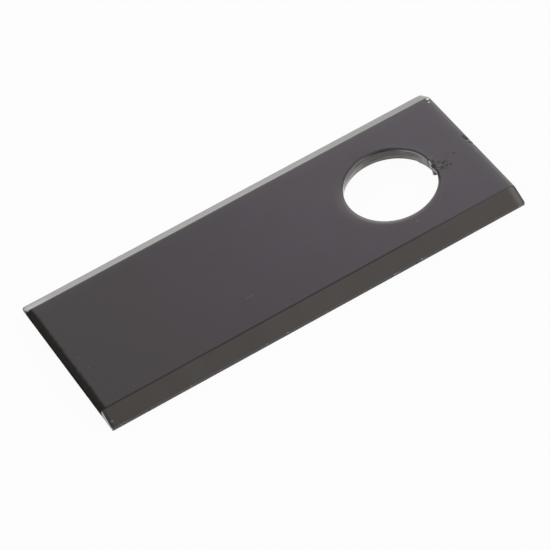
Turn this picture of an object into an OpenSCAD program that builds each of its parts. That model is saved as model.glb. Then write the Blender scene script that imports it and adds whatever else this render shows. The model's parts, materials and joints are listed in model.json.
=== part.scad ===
// Rotary mower blade: a flat steel bar with a bevel along both long edges of its upper face,
// sheared square at both ends and punched with a pivot hole near one of them.
// The origin is on the pivot axis at mid thickness. +X runs to the pivot end, +Z out of the bevelled face.

/* [Bar] */
// Length of the bar, from the cutting tip to the pivot end
blade_length = 96; // [70:1:140]
// Width of the bar, across both cutting edges
blade_width = 40; // [34:1:60]
// Thickness of the bar
blade_thickness = 3; // [2.5:0.1:6]

/* [Cutting edges] */
// Width of each bevel, measured across the bar
bevel_width = 3.6; // [2:0.1:5]
// Height of the blunt land that each bevel runs down to
edge_land = 0.8; // [0.6:0.1:1.5]

/* [Pivot hole] */
// Diameter of the hole's straight wall
hole_diameter = 19.5; // [12:0.1:24]
// Distance from the hole's centre to the pivot end
hole_to_end = 19.8; // [16:0.1:30]
// Height of the break-out, where the punched wall flares towards the lower face
breakout_height = 1.2; // [0.4:0.1:1.6]
// Growth of the hole's radius over the break-out
breakout_flare = 0.45; // [0.1:0.05:0.8]

/* [Sheared rims] */
// Width of the rolled-over rim around the hole and along the sheared ends of the upper face
roll_width = 1; // [0.9:0.1:1.6]
// Depth of that rim
roll_depth = 0.4; // [0.2:0.05:0.5]
// Width of the rolled-over rim along the sheared ends of the bevels, where the bar is thinner
bevel_roll_width = 0.8; // [0.4:0.1:0.9]
// Depth of that rim
bevel_roll_depth = 0.3; // [0.1:0.05:0.4]

/* [Wear] */
// Length of the dent in the upper edge of the pivot end
dent_length = 2.6; // [1:0.1:5]
// Depth of the dent below the rolled-over edge
dent_depth = 0.3; // [0.1:0.05:0.6]
// Reach of the dent into the upper face
dent_reach = 1.4; // [0.8:0.1:2]
// Place of the dent across the bar, from its centreline
dent_offset = 0.7; // [-10:0.1:10]
// Width of the tear in the hole's rim
tear_width = 1.5; // [0.5:0.1:2]
// Length of the tear, outwards from the hole's wall
tear_length = 1.8; // [1.2:0.1:3]
// Direction of the tear from the hole's centre, in degrees from +X
tear_angle = -11; // [-90:1:90]

/* [Hidden] */
$fn = 96;
// Overshoot of the cutting shapes past the surfaces that they cut
overshoot = 1;

pivot_end_x = hole_to_end;
tip_x = pivot_end_x - blade_length;
upper_z = blade_thickness / 2;
lower_z = -upper_z;
half_width = blade_width / 2;
// Distance from the centreline to the line where each bevel starts
bevel_line = half_width - bevel_width;
bevel_angle = atan2(blade_thickness - edge_land, bevel_width);
hole_radius = hole_diameter / 2;
// Radius of the arc that leaves a face tangentially and drops by the depth of the rim over its width
function roll_radius(width, depth) = (width * width + depth * depth) / (2 * depth);
// Depth of the side outline, enough for a bevel's outline to hold the whole bar
outline_depth = blade_width;
// Total drop of the dent at the end face, and the radius of its arc from the chord at the rolled-over edge
dent_drop = roll_depth + dent_depth;
dent_radius = roll_radius(dent_length / 2, dent_depth);
dent_slope = atan2(dent_drop, dent_reach);
// Radius of the tear's cone where it starts, inside the hole
tear_start_radius = tear_width / 2 * (tear_length + overshoot) / tear_length;

// What a shear rolls off the corner of an outline: outside the arc, right of and above its centre
module outside_arc(radius) {
    difference() {
        square(radius + overshoot);
        circle(r = radius);
    }
}

// Side outline of the metal under a level face at z = 0, with the face rolled over at both ends.
// The arcs run on past the ends of the bar, which cut them off.
module rolled_outline(width, depth) {
    radius = roll_radius(width, depth);
    past_end = radius - width;
    difference() {
        translate([tip_x - past_end, -outline_depth])
            square([blade_length + 2 * past_end, outline_depth]);
        translate([pivot_end_x - width, -radius])
            outside_arc(radius);
        translate([tip_x + width, -radius])
            mirror([1, 0])
                outside_arc(radius);
    }
}

// The metal under a level face at z = 0
module rolled_face(width, depth) {
    rotate([90, 0, 0])
        linear_extrude(2 * blade_width, center = true)
            rolled_outline(width, depth);
}

// The metal under the bevel on one side of the bar
module bevel_face(side) {
    translate([0, side * bevel_line, upper_z])
        rotate([-side * bevel_angle, 0, 0])
            rolled_face(bevel_roll_width, bevel_roll_depth);
}

// The bar before it is punched: a block between the sheared ends and the cutting edges,
// under the upper face and both bevels
module sheared_bar() {
    intersection() {
        translate([tip_x, -half_width, lower_z])
            cube([blade_length, blade_width, blade_thickness + overshoot]);
        translate([0, 0, upper_z])
            rolled_face(roll_width, roll_depth);
        bevel_face(-1);
        bevel_face(1);
    }
}

// Half outline of the punched hole: rolled-over rim, straight wall and flared break-out
module hole_outline() {
    translate([0, lower_z - overshoot])
        square([hole_radius, blade_thickness + 2 * overshoot]);
    polygon([
        [0, lower_z - overshoot],
        [hole_radius + breakout_flare, lower_z - overshoot],
        [hole_radius + breakout_flare, lower_z],
        [hole_radius, lower_z + breakout_height],
        [0, lower_z + breakout_height],
    ]);
    rim_radius = roll_radius(roll_width, roll_depth);
    translate([hole_radius + roll_width, upper_z - rim_radius])
        mirror([1, 0])
            outside_arc(rim_radius);
}

// Dent in the upper edge of the pivot end: a shallow trough that runs out into the upper face
module end_dent() {
    translate([pivot_end_x, dent_offset, upper_z - dent_drop])
        rotate([0, dent_slope, 0])
            translate([-2 * dent_reach, 0, dent_radius])
                rotate([0, 90, 0])
                    cylinder(h = 2 * dent_reach + overshoot, r = dent_radius);
}

// Tear in the hole's rim: a groove that narrows outwards from the wall
module rim_tear() {
    rotate([0, 0, tear_angle])
        translate([hole_radius - overshoot, 0, upper_z])
            rotate([0, 90, 0])
                cylinder(h = tear_length + overshoot, r1 = tear_start_radius, r2 = 0);
}

module blade() {
    color([0.3, 0.29, 0.3])
        difference() {
            sheared_bar();
            rotate_extrude()
                hole_outline();
            end_dent();
            rim_tear();
        }
}

blade();
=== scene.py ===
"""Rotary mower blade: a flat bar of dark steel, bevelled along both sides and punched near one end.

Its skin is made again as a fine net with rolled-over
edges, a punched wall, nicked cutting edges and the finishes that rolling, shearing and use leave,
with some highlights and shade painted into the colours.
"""

import json
import logging
import math
from dataclasses import dataclass, field, replace
from enum import Enum
from typing import Sequence, Union

import bpy
import numpy as np
from mathutils import Matrix, Vector


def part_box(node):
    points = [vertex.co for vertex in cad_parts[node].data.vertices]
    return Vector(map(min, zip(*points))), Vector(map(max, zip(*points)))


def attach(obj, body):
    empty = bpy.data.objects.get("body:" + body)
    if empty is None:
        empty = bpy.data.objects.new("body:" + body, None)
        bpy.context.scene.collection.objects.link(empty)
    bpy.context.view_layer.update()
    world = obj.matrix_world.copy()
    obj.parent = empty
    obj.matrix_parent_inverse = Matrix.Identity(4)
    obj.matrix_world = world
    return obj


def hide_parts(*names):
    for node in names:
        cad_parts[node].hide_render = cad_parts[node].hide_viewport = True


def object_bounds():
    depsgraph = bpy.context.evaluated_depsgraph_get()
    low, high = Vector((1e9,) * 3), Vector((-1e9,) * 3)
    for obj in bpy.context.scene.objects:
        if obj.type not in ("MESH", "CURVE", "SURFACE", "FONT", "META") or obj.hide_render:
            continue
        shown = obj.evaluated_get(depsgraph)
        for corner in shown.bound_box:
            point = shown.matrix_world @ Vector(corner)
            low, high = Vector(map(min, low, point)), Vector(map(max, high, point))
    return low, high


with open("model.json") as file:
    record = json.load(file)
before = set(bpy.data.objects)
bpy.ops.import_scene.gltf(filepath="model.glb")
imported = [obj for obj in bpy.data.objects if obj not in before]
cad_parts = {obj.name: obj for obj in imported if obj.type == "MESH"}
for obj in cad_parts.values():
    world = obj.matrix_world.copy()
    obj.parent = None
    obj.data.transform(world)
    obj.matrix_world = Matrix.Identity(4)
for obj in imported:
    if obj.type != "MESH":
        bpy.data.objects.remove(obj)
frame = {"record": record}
cad_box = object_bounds()

log = logging.getLogger("blade")

MM = 0.001

Triple = tuple[float, float, float]
Colour = Triple
Point = tuple[float, float]
Value = Union["Field", float]
Shape = Union["Field", np.ndarray]


class Skin(Enum):
    """The kinds of surface on the bar, in the order of its material slots."""

    ROLLED = 0
    BEVELLED = 1
    KNIFE = 2
    SHEARED = 3
    PUNCHED = 4
    CHIPPED = 5
    UNDERSIDE = 6


class Tone(Enum):
    """What a mark does to the surface that it crosses."""

    DARK = "dark"
    BRIGHT = "bright"


class Field:
    """A socket that takes part in arithmetic: each operation adds a Math node to its tree."""

    def __init__(self, graph: "Graph", socket: bpy.types.NodeSocket) -> None:
        """Wraps a socket of the graph's tree."""
        self.graph = graph
        self.socket = socket

    def __add__(self, other: Value) -> "Field":
        """Self plus other."""
        return self.graph.math("ADD", self, other)

    def __radd__(self, other: Value) -> "Field":
        """Other plus self."""
        return self.graph.math("ADD", other, self)

    def __sub__(self, other: Value) -> "Field":
        """Self minus other."""
        return self.graph.math("SUBTRACT", self, other)

    def __rsub__(self, other: Value) -> "Field":
        """Other minus self."""
        return self.graph.math("SUBTRACT", other, self)

    def __mul__(self, other: Value) -> "Field":
        """Self times other."""
        return self.graph.math("MULTIPLY", self, other)

    def __rmul__(self, other: Value) -> "Field":
        """Other times self."""
        return self.graph.math("MULTIPLY", other, self)

    def __truediv__(self, other: Value) -> "Field":
        """Self over other."""
        return self.graph.math("DIVIDE", self, other)

    def __rtruediv__(self, other: Value) -> "Field":
        """Other over self."""
        return self.graph.math("DIVIDE", other, self)

    def __pow__(self, other: Value) -> "Field":
        """Self to the power of other."""
        return self.graph.math("POWER", self, other)

    def __neg__(self) -> "Field":
        """Self with its sign turned."""
        return self.graph.math("MULTIPLY", self, -1.0)

    def __abs__(self) -> "Field":
        """Self without its sign."""
        return self.graph.math("ABSOLUTE", self)

    def sqrt(self) -> "Field":
        """The square root of self."""
        return self.graph.math("SQRT", self)

    def least(self, other: Value) -> "Field":
        """The smaller of self and other."""
        return self.graph.math("MINIMUM", self, other)

    def most(self, other: Value) -> "Field":
        """The larger of self and other."""
        return self.graph.math("MAXIMUM", self, other)

    def within(self, low: Value, high: Value) -> "Field":
        """Self held between low and high."""
        return self.most(low).least(high)

    def step(self, low: Value, high: Value) -> "Field":
        """A soft step of self, from 0 at low to 1 at high."""
        sockets = {"Value": self, "From Min": low, "From Max": high}
        return self.graph.field("ShaderNodeMapRange", {"interpolation_type": "SMOOTHSTEP"}, sockets)


class Graph:
    """Builds one node tree, node by node."""

    def __init__(self, tree: bpy.types.NodeTree) -> None:
        """Starts on a tree that has no nodes yet."""
        self.tree = tree

    @staticmethod
    def find(sockets: Sequence[bpy.types.NodeSocket], key: Union[str, int]) -> bpy.types.NodeSocket:
        """Finds a socket in use by its name, or by its number.

        Args:
            sockets: The inputs or outputs of a node.
            key: The socket's name, or its number where names repeat.

        Returns:
            The socket.
        """
        if isinstance(key, int):
            return sockets[key]
        return next(each for each in sockets if each.name == key and each.enabled)

    def node(self, kind: str, settings: dict | None = None, sockets: dict | None = None) -> bpy.types.Node:
        """Adds one node.

        Args:
            kind: The node's type.
            settings: Properties of the node, set before its sockets.
            sockets: Values or links of its inputs, by name or number.

        Returns:
            The node.
        """
        made = self.tree.nodes.new(kind)
        for key, value in (settings or {}).items():
            setattr(made, key, value)
        for key, value in (sockets or {}).items():
            target = self.find(made.inputs, key)
            if isinstance(value, Field):
                value = value.socket
            if isinstance(value, bpy.types.NodeSocket):
                self.tree.links.new(value, target)
            else:
                target.default_value = value
        return made

    def field(
        self,
        kind: str,
        settings: dict | None = None,
        sockets: dict | None = None,
        output: Union[str, int, None] = None,
    ) -> Field:
        """Adds one node and wraps one of its outputs.

        Args:
            kind: The node's type.
            settings: Properties of the node, set before its sockets.
            sockets: Values or links of its inputs, by name or number.
            output: The output's name or number; the first one in use if not given.

        Returns:
            The wrapped output.
        """
        made = self.node(kind, settings, sockets)
        if output is None:
            return Field(self, next(each for each in made.outputs if each.enabled))
        return Field(self, self.find(made.outputs, output))

    def math(self, operation: str, *operands: Value) -> Field:
        """Adds a Math node on the operands."""
        return self.field("ShaderNodeMath", {"operation": operation}, dict(enumerate(operands)))

    def split(self, vector: Field) -> tuple[Field, Field, Field]:
        """Parts a vector into its three numbers."""
        made = self.node("ShaderNodeSeparateXYZ", sockets={0: vector})
        return tuple(Field(self, each) for each in made.outputs)

    def join(self, x: Value, y: Value, z: Value) -> Field:
        """Joins three numbers into a vector."""
        return self.field("ShaderNodeCombineXYZ", sockets={0: x, 1: y, 2: z})

    def noise(self, vector: Field, detail: float = 2.0, roughness: float = 0.5) -> Field:
        """Adds soft noise, about 0.5, that has one wave to each unit of the vector."""
        sockets = {"Vector": vector, "Scale": 1.0, "Detail": detail, "Roughness": roughness}
        return self.field("ShaderNodeTexNoise", None, sockets, 0)

    def stretched(self, vector: Field, waves: Triple) -> Field:
        """Scales a vector by its own number of waves along each axis."""
        return self.field("ShaderNodeVectorMath", {"operation": "MULTIPLY"}, {0: vector, 1: waves})

    def scaled(self, vector: Field, factor: Value) -> Field:
        """Scales a vector by one factor."""
        return self.field("ShaderNodeVectorMath", {"operation": "SCALE"}, {0: vector, "Scale": factor})

    def carried(self, name: str) -> Field:
        """A mark that the net's points carry, for a material."""
        return self.field("ShaderNodeAttribute", {"attribute_name": name}, None, "Fac")

    def bump(self, depth: float, relief: Field) -> Field:
        """The normal of a fine relief that is some millimetres deep."""
        sockets = {"Strength": 1.0, "Distance": depth * MM, "Height": relief}
        return self.field("ShaderNodeBump", None, sockets, 0)

    def blend(
        self,
        factor: Value,
        first: Union[Field, Colour],
        second: Union[Field, Colour],
        rule: str = "MIX",
    ) -> Field:
        """Mixes two colours.

        Args:
            factor: The share of the second colour.
            first: A colour or a link to one.
            second: A colour or a link to one.
            rule: How the second colour is laid on the first.

        Returns:
            The mixed colour.
        """
        pair = [each if isinstance(each, Field) else (*each, 1.0) for each in (first, second)]
        settings = {"data_type": "RGBA", "blend_type": rule}
        return self.field("ShaderNodeMix", settings, {0: factor, 6: pair[0], 7: pair[1]}, 2)


class ShapeTree(Graph):
    """A Geometry Nodes tree with named inputs, which ends in the mesh of a piece."""

    def __init__(self, name: str, inputs: dict[str, str]) -> None:
        """Starts a tree that takes a geometry and the named inputs.

        Args:
            name: The tree's name.
            inputs: The socket type of each named input.
        """
        super().__init__(bpy.data.node_groups.new(name, "GeometryNodeTree"))
        face = self.tree.interface
        face.new_socket("Geometry", in_out="OUTPUT", socket_type="NodeSocketGeometry")
        face.new_socket("Geometry", in_out="INPUT", socket_type="NodeSocketGeometry")
        self.keys = {
            key: face.new_socket(key, in_out="INPUT", socket_type=kind).identifier
            for key, kind in inputs.items()
        }
        self.source = self.node("NodeGroupInput")

    def given(self, name: str) -> Field:
        """One of the tree's named inputs."""
        return Field(self, self.find(self.source.outputs, name))

    def attribute(self, name: str, kind: str) -> Field:
        """An attribute that the net's points or faces carry."""
        return self.field("GeometryNodeInputNamedAttribute", {"data_type": kind}, {"Name": name})

    def equal(self, number: Field, value: int) -> Field:
        """Where a whole number has a value."""
        settings = {"data_type": "INT", "operation": "EQUAL"}
        return self.field("FunctionNodeCompare", settings, {"A": number, "B": value})

    def random(self, least: Triple, most: Triple, seed: Field) -> Field:
        """A random vector for each point, between two others."""
        sockets = {"Min": least, "Max": most, "Seed": seed}
        return self.field("FunctionNodeRandomValue", {"data_type": "FLOAT_VECTOR"}, sockets)

    def close(self, shape: Field, dressing: Sequence[tuple[Union[Field, bool], Field]]) -> None:
        """Ends the tree: the shape is made real and each selection of it gets its material.

        Args:
            shape: The finished geometry.
            dressing: Pairs of a selection and the material for it.
        """
        shape = self.field("GeometryNodeRealizeInstances", None, {0: shape})
        for selection, material in dressing:
            sockets = {"Geometry": shape, "Selection": selection, "Material": material}
            shape = self.field("GeometryNodeSetMaterial", None, sockets)
        self.node("NodeGroupOutput", None, {0: shape})

    def grow(self, piece: bpy.types.Object, values: dict) -> bpy.types.Mesh:
        """Runs the tree on a piece and returns the result as a plain mesh.

        Args:
            piece: The object whose mesh the tree starts from.
            values: The value of each named input.

        Returns:
            The new mesh.
        """
        modifier = piece.modifiers.new(self.tree.name, "NODES")
        modifier.node_group = self.tree
        for key, value in values.items():
            modifier[self.keys[key]] = value
        return settle(piece)


def settle(piece: bpy.types.Object) -> bpy.types.Mesh:
    """Turns a piece and its modifiers into a plain mesh, and removes the modifiers.

    Args:
        piece: The object, which gets the new mesh.

    Returns:
        The new mesh.
    """
    graph = bpy.context.evaluated_depsgraph_get()
    mesh = bpy.data.meshes.new_from_object(piece.evaluated_get(graph))
    piece.modifiers.clear()
    piece.data = mesh
    mesh.name = piece.name
    return mesh


def placed(name: str, mesh: bpy.types.Mesh) -> bpy.types.Object:
    """Puts a mesh in the scene as an object at the origin.

    Args:
        name: The object's name.
        mesh: The mesh.

    Returns:
        The object.
    """
    piece = bpy.data.objects.new(name, mesh)
    bpy.context.scene.collection.objects.link(piece)
    return piece


def emptied(owner: Union[bpy.types.Material, bpy.types.World]) -> Graph:
    """Starts a material's or a world's nodes afresh.

    Args:
        owner: The material or the world.

    Returns:
        Its tree, with no nodes.
    """
    owner.use_nodes = True
    owner.node_tree.nodes.clear()
    return Graph(owner.node_tree)


def stretches(*parts: tuple[float, float, int]) -> np.ndarray:
    """Joins evenly divided stretches into one rising row of numbers.

    Args:
        parts: Start, stop and number of steps of each stretch.

    Returns:
        The row, with both its ends.
    """
    rows = [np.linspace(start, stop, steps, endpoint=False) for start, stop, steps in parts]
    return np.append(np.concatenate(rows), parts[-1][1])


def soft_step(value: np.ndarray, low: float, high: float) -> np.ndarray:
    """A soft step of an array, from 0 at low to 1 at high."""
    share = np.clip((value - low) / (high - low), 0.0, 1.0)
    return share * share * (3.0 - 2.0 * share)


def window(value: np.ndarray, span: Point, fade: float) -> np.ndarray:
    """How far an array's values lie within a span.

    Args:
        value: The values.
        span: Start and stop of the span.
        fade: How far in from its ends the window opens fully.

    Returns:
        1 well inside the span, falling to 0 at its ends.
    """
    start, stop = span
    return soft_step(value, start, start + fade) * soft_step(value, stop, stop - fade)


@dataclass(frozen=True)
class StraightMark:
    """A straight mark seen from above, in millimetres from the pivot axis; scratches, specks, painted
    highlights and painted shade are all drawn as such marks.

    Attributes:
        start: Where it starts.
        stop: Where it stops.
        width: How far it reaches to each side.
        depth: How deep it is; below 0 it stands up.
        tone: What it does to the surface.
        strength: How strongly it does so.
        tapered: Whether it fades towards both ends.
    """

    start: Point
    stop: Point
    width: float
    depth: float
    tone: Tone
    strength: float = 1.0
    tapered: bool = False

    def mask(self, x: Field, y: Field) -> Field:
        """How far a place lies in the mark.

        Args:
            x: Place along the bar, in millimetres.
            y: Place across the bar, in millimetres.

        Returns:
            1 in the middle of the mark, falling to 0 at its sides.
        """
        run = (self.stop[0] - self.start[0], self.stop[1] - self.start[1])
        square = run[0] ** 2 + run[1] ** 2
        dx = x - self.start[0]
        dy = y - self.start[1]
        share = ((dx * run[0] + dy * run[1]) / square).within(0.0, 1.0)
        off_x = dx - share * run[0]
        off_y = dy - share * run[1]
        across = (1.0 - (off_x * off_x + off_y * off_y).sqrt().step(0.0, self.width)) * self.strength
        return across * share * (4.0 - 4.0 * share) if self.tapered else across


@dataclass(frozen=True)
class Scuff(StraightMark):
    """A crumpled patch with dark and bare flecks, which are given by their waves to the millimetre."""

    crumple_waves: float = 2.2
    fleck_waves: float = 2.8
    least_grime: float = 0.18
    fleck_grime: float = 0.60
    grime_span: Point = (0.46, 0.64)
    bare_and_highlight: float = 0.05
    bare_span: Point = (0.34, 0.46)

    def flecks(self, graph: Graph, spot: Field) -> tuple[Field, Field]:
        """The patch's flecks.

        Args:
            graph: The material's tree.
            spot: The place on the bar, in millimetres.

        Returns:
            How far grime covers the place, and how far it is bare.
        """
        patch = self.mask(*graph.split(spot)[:2])
        flecks = graph.noise(graph.stretched(spot, (self.fleck_waves,) * 3))
        grime_and_shade = self.least_grime + self.fleck_grime * flecks.step(*self.grime_span)
        return patch * grime_and_shade, patch * (self.bare_and_highlight - self.bare_and_highlight * flecks.step(*self.bare_span))

    def crumple(self, tree: Graph, place: tuple[Field, Field], seed: float) -> Field:
        """How deep the patch is crumpled in.

        Args:
            tree: The tree.
            place: The place along and across the bar, in millimetres.
            seed: The seed of the crumpling.

        Returns:
            The depth in millimetres.
        """
        waves = [each * self.crumple_waves for each in place]
        return self.mask(*place) * (tree.noise(tree.join(*waves, seed)) - 0.5) * (2.0 * self.depth)


TORN_RIM = (
    StraightMark((10.4, -0.1), (10.3, -0.9), 0.40, 0.03, Tone.DARK, 0.50),
    StraightMark((11.1, -1.1), (11.1, -1.3), 0.35, 0.03, Tone.DARK, 0.50),
    StraightMark((11.4, -2.1), (12.1, -1.9), 0.38, 0.04, Tone.DARK, 0.55),
    StraightMark((12.4, -2.2), (12.5, -2.3), 0.35, 0.03, Tone.DARK, 0.45),
    StraightMark((11.5, -3.3), (12.1, -3.0), 0.38, 0.03, Tone.DARK, 0.40),
    StraightMark((10.3, -3.1), (11.0, -3.2), 0.38, 0.03, Tone.DARK, 0.45),
    StraightMark((10.05, -1.3), (9.95, -1.75), 0.28, 0.03, Tone.DARK, 0.40),
    StraightMark((9.75, -3.1), (9.0, -5.2), 0.38, 0.0, Tone.DARK, 0.50),
    StraightMark((10.2, -1.9), (11.1, -2.2), 0.30, -0.03, Tone.BRIGHT, 0.10),
    StraightMark((10.0, -2.6), (10.5, -2.5), 0.30, -0.03, Tone.BRIGHT, 0.09),
    StraightMark((11.7, -2.6), (12.2, -2.6), 0.25, -0.02, Tone.BRIGHT, 0.06),
    StraightMark((10.0, 1.2), (10.7, 0.8), 0.25, -0.02, Tone.BRIGHT, 0.05),
    StraightMark((9.8, 0.25), (9.75, -0.2), 0.20, -0.10, Tone.BRIGHT, 0.55),
    StraightMark((9.72, -0.55), (9.62, -1.1), 0.20, -0.10, Tone.BRIGHT, 0.60),
)

SCUFF = Scuff((10.3, -2.3), (11.9, -2.9), 2.1, 0.06, Tone.DARK)

# Dark marks of the dent in the pivot end's rolled edge, and one painted shade line along that edge.
END_DENT_AND_SHADE = (
    StraightMark((19.15, 1.9), (19.2, 0.7), 0.62, 0.06, Tone.DARK, 0.75),
    StraightMark((19.0, -0.35), (19.7, -0.85), 0.26, 0.08, Tone.DARK, 1.0),
    StraightMark((19.4, -1.3), (19.45, -1.35), 0.25, -0.02, Tone.BRIGHT, 0.15),
    StraightMark((19.1, -2.5), (18.8, -3.7), 0.30, -0.01, Tone.BRIGHT, 0.03),
    # Painted shade: dims the highlight on the rolled pivot end.
    StraightMark((19.5, 22.0), (19.5, -16.0), 0.50, 0.0, Tone.DARK, 0.30, True),
)

# Dark and light specks on the face, and two painted glints.
SPECKS_AND_GLINTS = (
    StraightMark((14.8, -1.0), (15.0, -1.2), 0.45, 0.01, Tone.DARK, 0.40),
    StraightMark((14.0, -0.2), (14.1, -0.3), 0.40, 0.01, Tone.DARK, 0.20),
    StraightMark((14.6, -2.3), (14.7, -2.4), 0.40, 0.01, Tone.DARK, 0.15),
    StraightMark((13.2, 0.0), (13.3, -1.5), 0.50, 0.01, Tone.DARK, 0.12),
    StraightMark((-39.1, -8.9), (-37.3, -8.9), 0.18, 0.01, Tone.BRIGHT, 0.045),
    StraightMark((-73.6, -1.4), (-73.5, -1.3), 0.25, 0.01, Tone.BRIGHT, 0.05),
    StraightMark((-73.1, -5.0), (-73.0, -4.9), 0.25, 0.01, Tone.BRIGHT, 0.05),
    StraightMark((-68.1, -14.8), (-68.0, -14.8), 0.25, 0.01, Tone.BRIGHT, 0.05),
    StraightMark((-1.0, -12.6), (-0.9, -12.5), 0.22, 0.01, Tone.BRIGHT, 0.10),
    # Painted highlights: two white glints of a burr at the far corner of the pivot end, over tiny dents.
    StraightMark((19.0, 15.95), (19.3, 16.0), 0.35, 0.02, Tone.BRIGHT, 1.0),
    StraightMark((18.75, 14.9), (18.8, 14.9), 0.26, 0.02, Tone.BRIGHT, 1.0),
)

BEVEL_MARKS = (
    StraightMark((-90.0, 16.9), (6.0, 16.9), 1.3, 0.0, Tone.BRIGHT, 0.055, True),
    StraightMark((-76.1, 19.6), (-76.0, 19.8), 0.35, 0.0, Tone.DARK, 0.9),
    StraightMark((-80.5, 18.0), (-70.0, 17.4), 2.0, 0.0, Tone.BRIGHT, 0.25, True),
    StraightMark((-75.5, -18.9), (-75.4, -18.9), 0.30, 0.0, Tone.BRIGHT, 0.20),
    StraightMark((19.0, -16.8), (19.0, -19.6), 1.3, 0.0, Tone.BRIGHT, 0.08),
    StraightMark((-12.0, 18.2), (40.0, 18.2), 3.0, 0.0, Tone.DARK, 0.12, True),
)

TIP_CORNER = (StraightMark((-76.2, -16.8), (-76.2, -20.6), 1.5, 0.0, Tone.BRIGHT, 0.38),)


@dataclass(frozen=True)
class WallMark:
    """A mark on the hole's wall, some of them painted highlights and shade, between two angles in degrees
    and two shares of the wall's height.

    Attributes:
        angles: Where it starts and stops round the hole.
        heights: Where it starts and stops on the wall, from 0 below to 1 at the rim.
        fade: How far in from its angles it opens fully.
        tone: What it does to the wall.
        strength: How strongly it does so.
        height_fade: How far in from its heights it opens fully.
    """

    angles: Point
    heights: Point
    fade: float
    tone: Tone
    strength: float
    height_fade: float = 0.05

    def mask(self, degrees: np.ndarray, lift: float) -> np.ndarray:
        """How far places on the wall lie in the mark.

        Args:
            degrees: Their angles round the hole.
            lift: Their height, from 0 below to 1 at the rim.

        Returns:
            The mark's strength inside it, falling to 0 at its sides.
        """
        across = window(degrees, self.angles, self.fade)
        return across * window(np.full_like(degrees, lift), self.heights, self.height_fade) * self.strength


# Marks on the hole's wall; the glints under the rim, the gap's shade and the lighter left-hand wall are
# painted light.
WALL_MARKS_AND_PAINTED_LIGHT = (
    WallMark((-6.0, 3.5), (0.84, 1.1), 2.0, Tone.BRIGHT, 0.35),
    # Painted shade: the dark gap beside the bright sliver.
    WallMark((3.0, 8.0), (0.24, 1.1), 1.5, Tone.DARK, 0.75),
    WallMark((-6.0, 14.0), (-0.1, 0.95), 5.0, Tone.DARK, 0.20),
    WallMark((-9.0, -1.5), (-0.1, 0.80), 2.0, Tone.DARK, 0.62),
    WallMark((-12.0, -5.0), (0.76, 1.1), 1.5, Tone.DARK, 0.65),
    WallMark((-24.0, -8.0), (-0.1, 0.76), 2.0, Tone.DARK, 0.92, 0.08),
    WallMark((-24.0, -9.0), (0.84, 1.1), 2.0, Tone.BRIGHT, 0.12),
    # Painted reflection: the left-hand wall made lighter.
    WallMark((138.0, 180.0), (-0.1, 0.95), 10.0, Tone.BRIGHT, 0.40),
    WallMark((4.0, 42.0), (0.10, 0.90), 10.0, Tone.BRIGHT, 0.035),
    # Painted highlights: a burnished band just under the rim, made bright on both sides of the hole.
    WallMark((6.0, 52.0), (0.86, 0.99), 14.0, Tone.BRIGHT, 0.28),
    WallMark((88.0, 128.0), (0.86, 0.99), 8.0, Tone.BRIGHT, 0.12),
    # Painted reflection: a lighter band low on the left-hand wall. Then darker bands higher up the wall.
    WallMark((88.0, 170.0), (-0.1, 0.70), 15.0, Tone.BRIGHT, 0.11),
    WallMark((92.0, 150.0), (0.55, 0.88), 15.0, Tone.DARK, 0.15),
    WallMark((40.0, 92.0), (0.55, 0.95), 12.0, Tone.DARK, 0.20),
)


@dataclass(frozen=True)
class RimPull:
    """A place where the hole's rim lies out from its circle, or in from it.

    Attributes:
        angle: Where it lies round the hole, in degrees.
        focus: How closely it keeps to that angle.
        reach: How far out the rim lies, in millimetres.
    """

    angle: float
    focus: float
    reach: float


RIM_PULLS = (
    RimPull(-36.0, 18.0, 0.18),
    RimPull(2.0, 80.0, -0.16),
    RimPull(94.0, 60.0, 0.16),
    RimPull(186.0, 20.0, 0.08),
    RimPull(128.0, 500.0, 0.05),
    RimPull(112.0, 500.0, -0.06),
    RimPull(104.0, 600.0, 0.06),
    RimPull(84.0, 500.0, -0.05),
    RimPull(57.0, 500.0, 0.05),
    RimPull(41.0, 500.0, -0.04),
    RimPull(28.0, 120.0, 0.09),
    RimPull(-20.0, 200.0, -0.07),
)


@dataclass(frozen=True)
class TipScale:
    """The black scale that covers the sheared tip, with its lengths in millimetres."""

    tone: Colour = (0.0315, 0.0285, 0.0260)
    worn: Colour = (0.0430, 0.0405, 0.0365)
    worn_span: Point = (0.35, 0.8)
    reach: float = 1.08
    fade: float = 0.42
    ragged: float = 1.6
    ragged_waves: float = 0.9
    near: Point = (-0.1, 0.2)
    far: Point = (1.3, 2.0)
    slant: float = 0.4
    crust_waves: float = 2.5
    crust_depth: float = 0.05
    smoothest: float = 0.55
    crust_roughness: float = 0.3

    def cover(self, graph: Graph, spot: Field, bar: "BarSizes") -> Field:
        """Where the scale lies: on the tip's end and its rolled edge, past the bevels' lines.

        Args:
            graph: The material's tree.
            spot: The place on the bar, in millimetres.
            bar: The bar's sizes.

        Returns:
            1 under the scale, falling to 0 beyond it.
        """
        x, y, z = graph.split(spot)
        patches = graph.noise(graph.stretched(spot, (self.ragged_waves,) * 3), detail=3.0)
        inward = x - bar.tip / MM + (patches - 0.5) * (self.ragged * self.fade)
        kept = 1.0 - inward.step(self.reach - self.fade, self.reach + self.fade)
        line = bar.bevel_line / MM
        near, far = ([line + off for off in span] for span in (self.near, self.far))
        below = bar.half_thick / MM - z
        return kept * (1.0 - (below * self.slant - y).step(*near)) * (1.0 - y.step(*far))

    def shader(self, graph: Graph, spot: Field) -> bpy.types.Node:
        """The scale's dull crust.

        Args:
            graph: The material's tree.
            spot: The place on the bar, in millimetres.

        Returns:
            The shader node.
        """
        crust = graph.noise(graph.stretched(spot, (self.crust_waves,) * 3), detail=4.0, roughness=0.6)
        sockets = {
            "Base Color": graph.blend(crust.step(*self.worn_span), self.tone, self.worn),
            "Roughness": self.smoothest + crust * self.crust_roughness,
            "Specular IOR Level": 0.0,
            "Normal": graph.bump(self.crust_depth, crust),
        }
        return graph.node("ShaderNodeBsdfPrincipled", None, sockets)


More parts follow.
